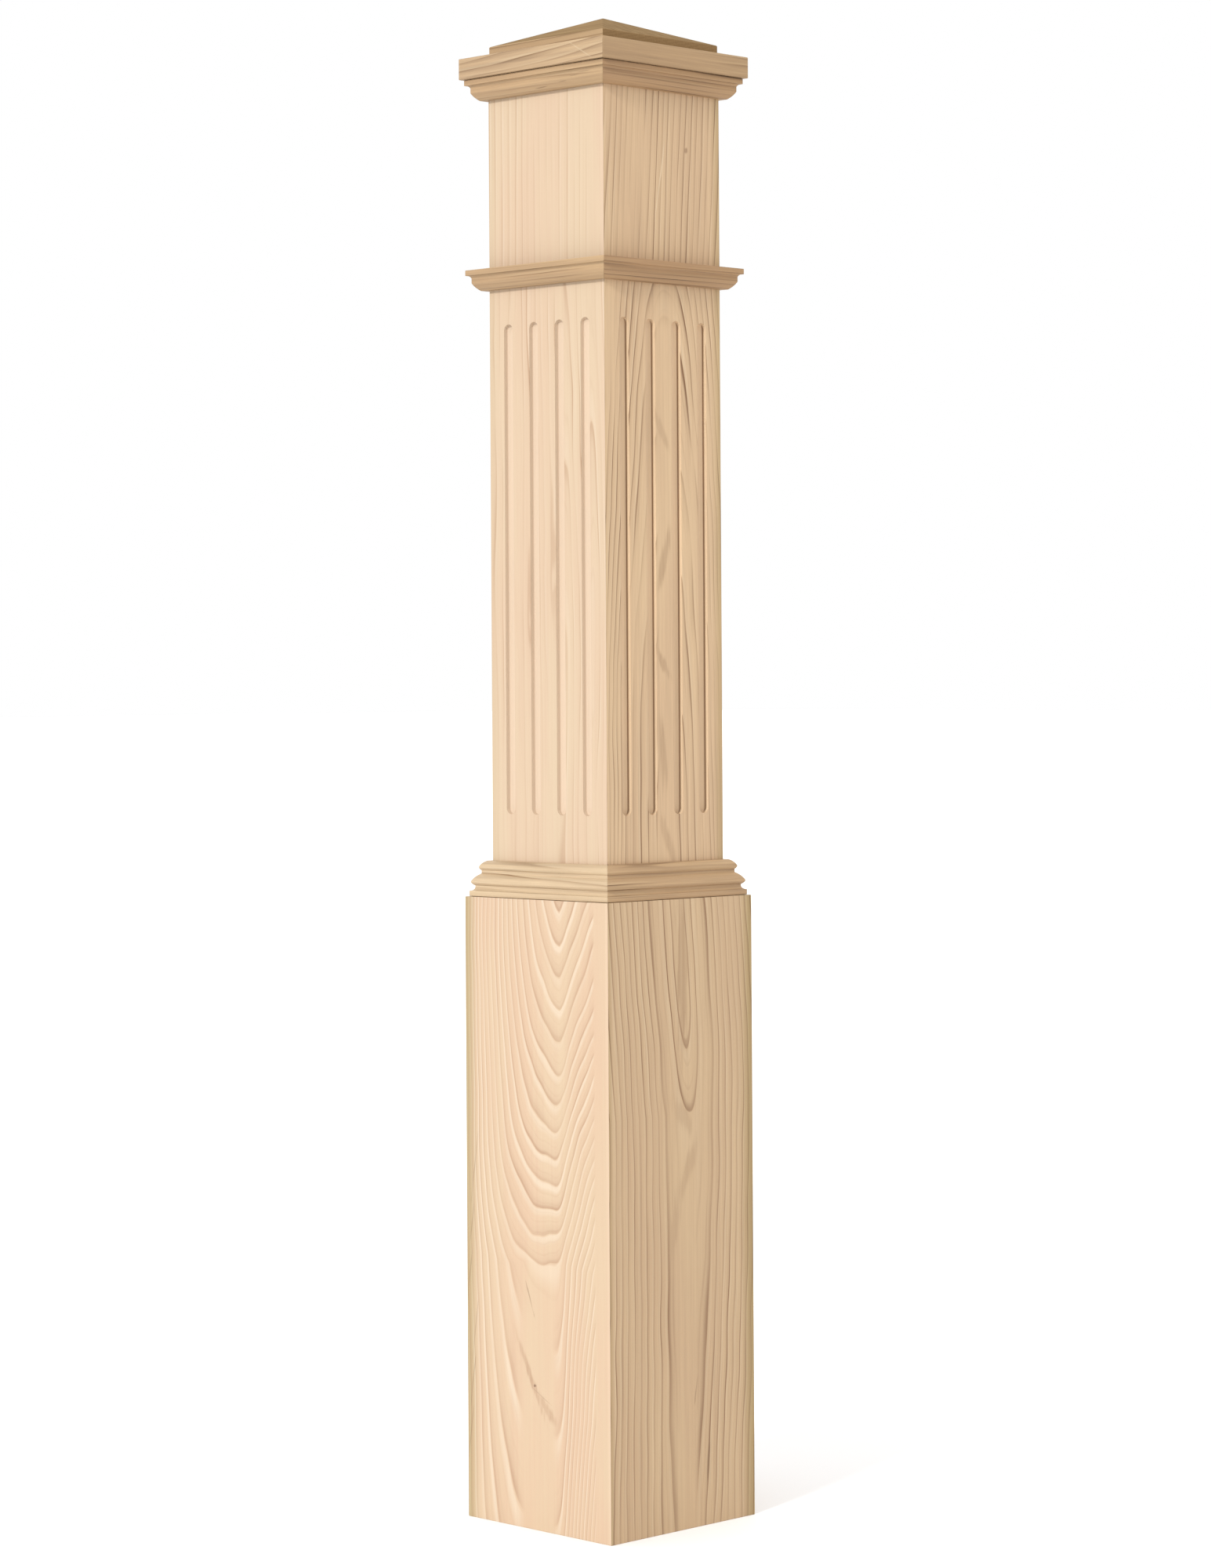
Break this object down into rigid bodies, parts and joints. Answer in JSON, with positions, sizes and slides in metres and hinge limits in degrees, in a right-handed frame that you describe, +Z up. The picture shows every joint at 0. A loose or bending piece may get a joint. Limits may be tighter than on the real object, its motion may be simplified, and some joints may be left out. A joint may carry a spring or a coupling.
{
  "type": "box newel post",
  "caption": "Hollow square newel post in pale unfinished wood: fluted shaft on a wider plain base, mitred mouldings and a low pyramid cap, to end a stair railing.",
  "frame": {"origin": "on the floor, on the post's own vertical axis", "axes": "+Z up along the post; -Y out of the front face and +X out of the right face"},
  "size_m": [0.1606, 0.1606, 1.1729],
  "materials": {
    "shaft_wood": "planed bare wood, matt",
    "base_wood": "planed bare wood, matt",
    "moulding_wood": "moulded bare wood, matt",
    "fascia_wood": "planed bare wood, matt",
    "cap_wood": "planed bare wood, matt"
  },
  "bodies": {
    "root": {"shaft_board_front": "shaft_wood", "shaft_board_right": "shaft_wood", "shaft_board_back": "shaft_wood", "shaft_board_left": "shaft_wood", "base_board_front": "base_wood", "base_board_right": "base_wood", "base_board_back": "base_wood", "base_board_left": "base_wood", "base_moulding_front": "moulding_wood", "base_moulding_right": "moulding_wood", "base_moulding_back": "moulding_wood", "base_moulding_left": "moulding_wood", "collar_moulding_front": "moulding_wood", "collar_moulding_right": "moulding_wood", "collar_moulding_back": "moulding_wood", "collar_moulding_left": "moulding_wood", "cap_moulding_front": "moulding_wood", "cap_moulding_right": "moulding_wood", "cap_moulding_back": "moulding_wood", "cap_moulding_left": "moulding_wood", "cap_fascia_front": "fascia_wood", "cap_fascia_right": "fascia_wood", "cap_fascia_back": "fascia_wood", "cap_fascia_left": "fascia_wood", "cap_top_block": "cap_wood"}
  },
  "joints": []
}
